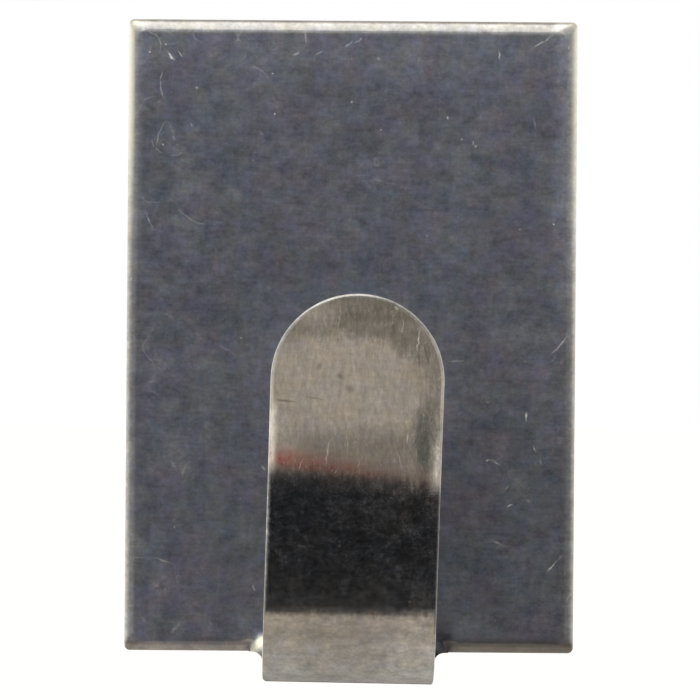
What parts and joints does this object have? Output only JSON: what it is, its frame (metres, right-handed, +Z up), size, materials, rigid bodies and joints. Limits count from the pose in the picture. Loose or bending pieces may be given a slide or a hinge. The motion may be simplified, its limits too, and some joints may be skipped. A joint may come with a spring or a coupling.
{
  "type": "adhesive hook",
  "caption": "Flat rectangular stamped steel plate with a foam tape back and a round-tipped tongue bent forward and up as a hook.",
  "frame": {"origin": "centre of the rear face, where the hook meets the wall", "axes": "+Z up, +Y into the wall, +X to the right seen from the front; the hook stands out towards -Y"},
  "size_m": [0.032, 0.016, 0.0469],
  "materials": {
    "stamped_steel": "cold-rolled stainless sheet, satin with a cloudy haze, fine handling scratches and burnished edges",
    "foam_tape": "white closed-cell foam, matt",
    "liner_film": "off-white release paper with a slight sheen"
  },
  "bodies": {
    "root": {"hook": "stamped_steel", "foam_pad": "foam_tape", "release_liner": "liner_film"}
  },
  "joints": []
}
